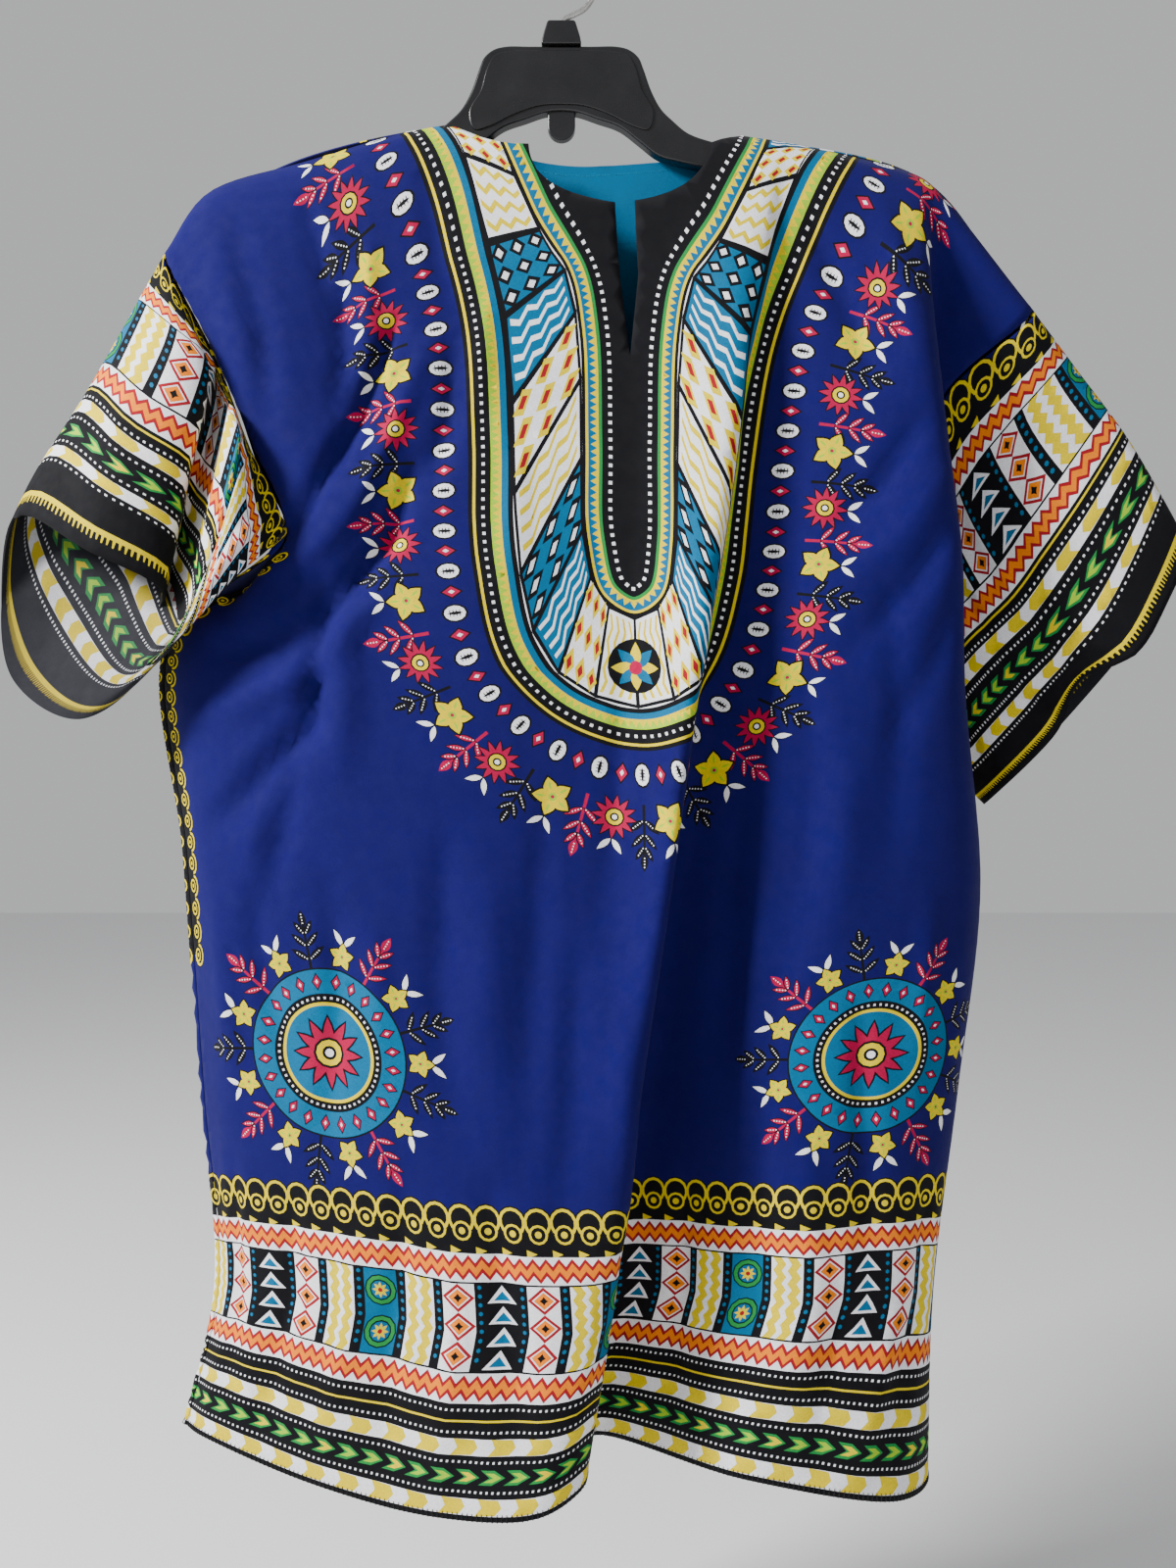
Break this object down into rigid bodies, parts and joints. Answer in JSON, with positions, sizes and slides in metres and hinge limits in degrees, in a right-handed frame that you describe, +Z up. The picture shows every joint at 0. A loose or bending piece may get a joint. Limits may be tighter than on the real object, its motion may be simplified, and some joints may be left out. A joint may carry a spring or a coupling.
{
  "type": "dashiki shirt on a clothes hanger",
  "caption": "Wide cotton dashiki shirt with a slit round neck and short wide sleeves in a blue border print, hanging on a black moulded hanger with a steel hook.",
  "frame": {"origin": "inside of the hook's crown, where a rail carries the hanger", "axes": "+Z up, front of the shirt faces -Y, +X to the right of someone looking at the front"},
  "size_m": [0.751, 0.1476, 0.9485],
  "materials": {
    "printed_cotton": "plain-weave cotton print, royal blue ground with black, yellow, turquoise and crimson bands, faint sheen",
    "turquoise_cotton": "plain-weave cotton, turquoise, topstitched",
    "black_plastic": "moulded black polystyrene, glossy with fine scratches",
    "steel_wire": "bright plated steel wire"
  },
  "bodies": {
    "root": {"front_panel": "printed_cotton", "back_panel": "printed_cotton", "sleeve_wearer_right": "printed_cotton", "sleeve_wearer_left": "printed_cotton", "back_neck_facing": "turquoise_cotton", "hanger_body": "black_plastic", "hanger_sizer_tab": "black_plastic", "hanger_hook": "steel_wire"}
  },
  "joints": []
}
